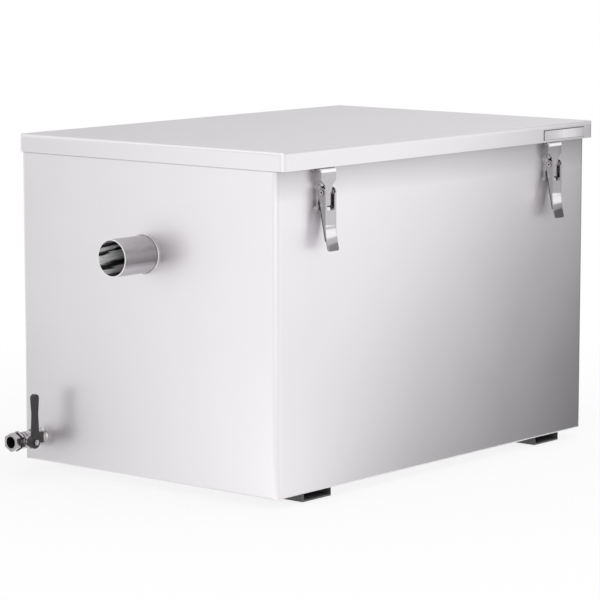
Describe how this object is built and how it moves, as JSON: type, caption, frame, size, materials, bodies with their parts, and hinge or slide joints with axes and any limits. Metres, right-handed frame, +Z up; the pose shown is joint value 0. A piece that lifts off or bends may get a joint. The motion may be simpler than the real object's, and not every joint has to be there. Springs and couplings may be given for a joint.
{
  "type": "grease trap",
  "caption": "Floor-standing stainless steel grease trap: box tank with hinged latched lid, pipe stubs, lever drain valve, strainer basket and baffles inside.",
  "frame": {"origin": "middle of the whole footprint, latches and hinges included, on the floor under the feet", "axes": "+Z up; +X along the tank from the inlet end to the outlet end; -Y towards the front with the latches"},
  "size_m": [0.828, 0.496, 0.47],
  "materials": {
    "stainless_satin": "satin stainless sheet",
    "stainless_bright": "bright polished stainless",
    "plated_brass": "nickel plated brass",
    "black_rubber": "matt black rubber",
    "black_plastic": "black coated lever",
    "white_seat": "white low-friction plastic"
  },
  "bodies": {
    "trap": {"tank": "stainless_satin", "inlet_pipe": "stainless_satin", "outlet_pipe": "stainless_satin", "strainer_basket": "stainless_satin", "basket_handle": "stainless_satin", "basket_rail_front": "stainless_satin", "basket_rail_back": "stainless_satin", "inlet_baffle": "stainless_satin", "outlet_baffle": "stainless_satin", "inlet_guide_front": "stainless_satin", "inlet_guide_back": "stainless_satin", "outlet_guide_front": "stainless_satin", "outlet_guide_back": "stainless_satin", "hinge_tank_leaf_left": "stainless_satin", "hinge_tank_leaf_right": "stainless_satin", "hinge_pin_left": "stainless_satin", "hinge_pin_right": "stainless_satin", "latch_base_left": "stainless_satin", "latch_base_right": "stainless_satin", "drain_socket": "stainless_satin", "left_latch_rivet_left": "stainless_bright", "left_latch_rivet_right": "stainless_bright", "right_latch_rivet_left": "stainless_bright", "right_latch_rivet_right": "stainless_bright", "valve_body": "plated_brass", "valve_end": "plated_brass", "packing_nut": "plated_brass", "foot_front_left": "black_rubber", "foot_front_right": "black_rubber", "foot_back_left": "black_rubber", "foot_back_right": "black_rubber", "seat_inner": "white_seat", "seat_outer": "white_seat"},
    "lid_assembly": {"lid": "stainless_satin", "lid_gasket": "black_rubber", "blank_plate": "stainless_bright", "hinge_lid_leaf_left": "stainless_satin", "hinge_lid_leaf_right": "stainless_satin", "lid_catch_left": "stainless_satin", "lid_catch_right": "stainless_satin"},
    "left_lever": {"latch_lever_left": "stainless_bright", "hook_pin_left": "stainless_bright"},
    "left_hook": {"latch_hook_left": "stainless_bright"},
    "right_lever": {"latch_lever_right": "stainless_bright", "hook_pin_right": "stainless_bright"},
    "right_hook": {"latch_hook_right": "stainless_bright"},
    "valve_key": {"valve_ball": "plated_brass", "valve_stem": "plated_brass", "drain_lever": "black_plastic", "lever_nut": "plated_brass"}
  },
  "joints": [
    {"name": "lid_hinge", "type": "hinge", "parent": "trap", "child": "lid_assembly", "pos_m": [0, 0.24352, 0.4396], "axis": [-1, 0, 0], "range_deg": [0, 105]},
    {"name": "left_latch_lever", "type": "hinge", "parent": "trap", "child": "left_lever", "pos_m": [-0.258, -0.23648, 0.412], "axis": [-1, 0, 0], "range_deg": [0, 95]},
    {"name": "left_latch_hook", "type": "hinge", "parent": "left_lever", "child": "left_hook", "pos_m": [-0.258, -0.23578, 0.395], "axis": [-1, 0, 0], "range_deg": [-102, 0]},
    {"name": "right_latch_lever", "type": "hinge", "parent": "trap", "child": "right_lever", "pos_m": [0.258, -0.23648, 0.412], "axis": [-1, 0, 0], "range_deg": [0, 95]},
    {"name": "right_latch_hook", "type": "hinge", "parent": "right_lever", "child": "right_hook", "pos_m": [0.258, -0.23578, 0.395], "axis": [-1, 0, 0], "range_deg": [-102, 0]},
    {"name": "drain_valve", "type": "hinge", "parent": "trap", "child": "valve_key", "pos_m": [-0.38808, 0.20202, 0.048], "axis": [0, -1, 0], "range_deg": [0, 90]}
  ],
  "couplings": [
    {"joint": "left_latch_hook", "follows": "left_latch_lever", "ratio": -1.07},
    {"joint": "right_latch_hook", "follows": "right_latch_lever", "ratio": -1.07}
  ]
}
